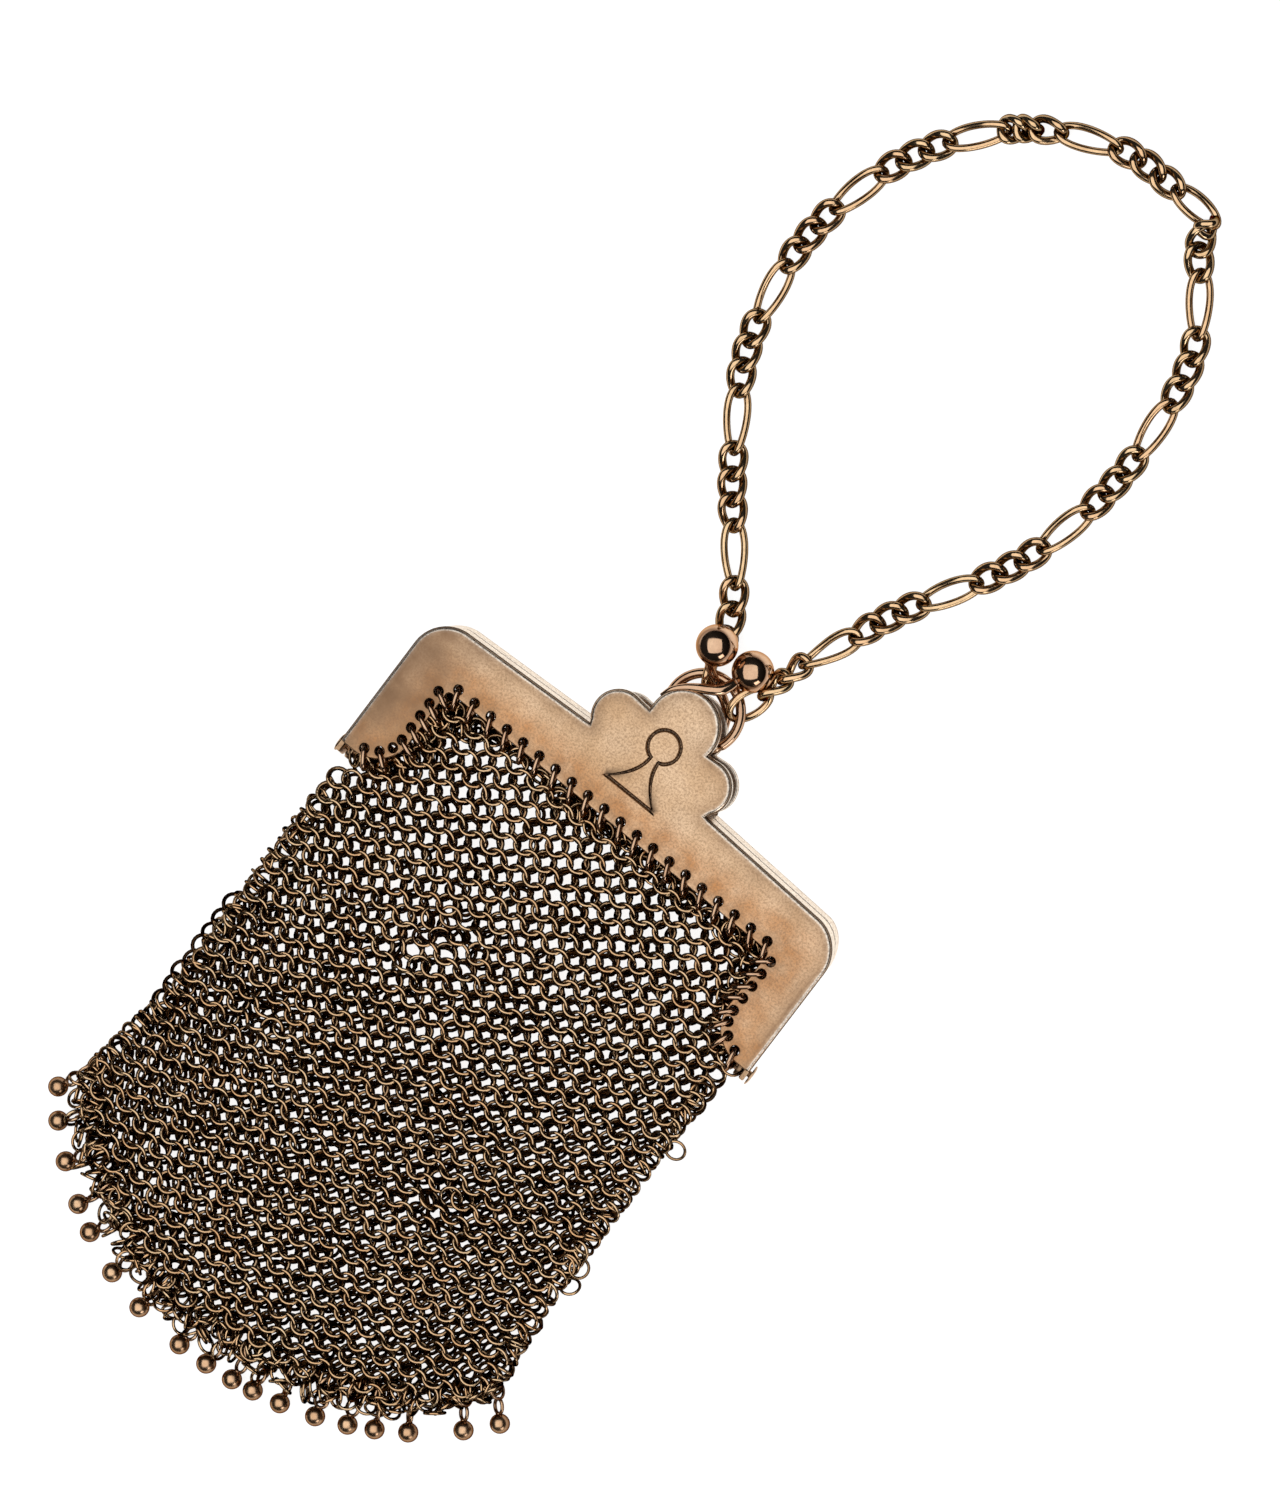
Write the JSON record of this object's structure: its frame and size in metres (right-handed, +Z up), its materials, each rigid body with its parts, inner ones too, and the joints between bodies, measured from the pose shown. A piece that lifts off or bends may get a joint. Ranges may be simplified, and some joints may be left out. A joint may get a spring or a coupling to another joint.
{
  "type": "metal mesh purse",
  "caption": "Small flat purse of fine metal ring mesh on a hinged frame with a two-ball clasp, a wrist chain and a fringe of ball drops, lying on its back.",
  "frame": {"origin": "middle of the purse's outline on the surface that it lies on", "axes": "+X across the frame to the right, +Y from the bag towards the clasp and the chain, +Z up, out of the frame's front"},
  "size_m": [0.077, 0.2062, 0.0082],
  "materials": {
    "frame_gold": "worn satin, with warmer tarnish round the link holes",
    "rose_gold": "polished",
    "chain_gold": "polished, aged",
    "mesh_gold": "aged wire rings with bright wear"
  },
  "bodies": {
    "root": {"front_plate": "frame_gold", "back_plate": "frame_gold", "left_hinge_pin": "frame_gold", "right_hinge_pin": "frame_gold", "bail_ring": "rose_gold", "wrist_chain": "chain_gold", "mesh_bag": "mesh_gold", "ball_drop_01": "rose_gold", "ball_drop_02": "rose_gold", "ball_drop_03": "rose_gold", "ball_drop_04": "rose_gold", "ball_drop_05": "rose_gold", "ball_drop_06": "rose_gold", "ball_drop_07": "rose_gold", "ball_drop_08": "rose_gold", "ball_drop_09": "rose_gold", "ball_drop_10": "rose_gold", "ball_drop_11": "rose_gold", "ball_drop_12": "rose_gold", "ball_drop_13": "rose_gold", "ball_drop_14": "rose_gold", "ball_drop_15": "rose_gold", "ball_drop_16": "rose_gold", "ball_drop_17": "rose_gold", "ball_drop_18": "rose_gold"}
  },
  "joints": []
}
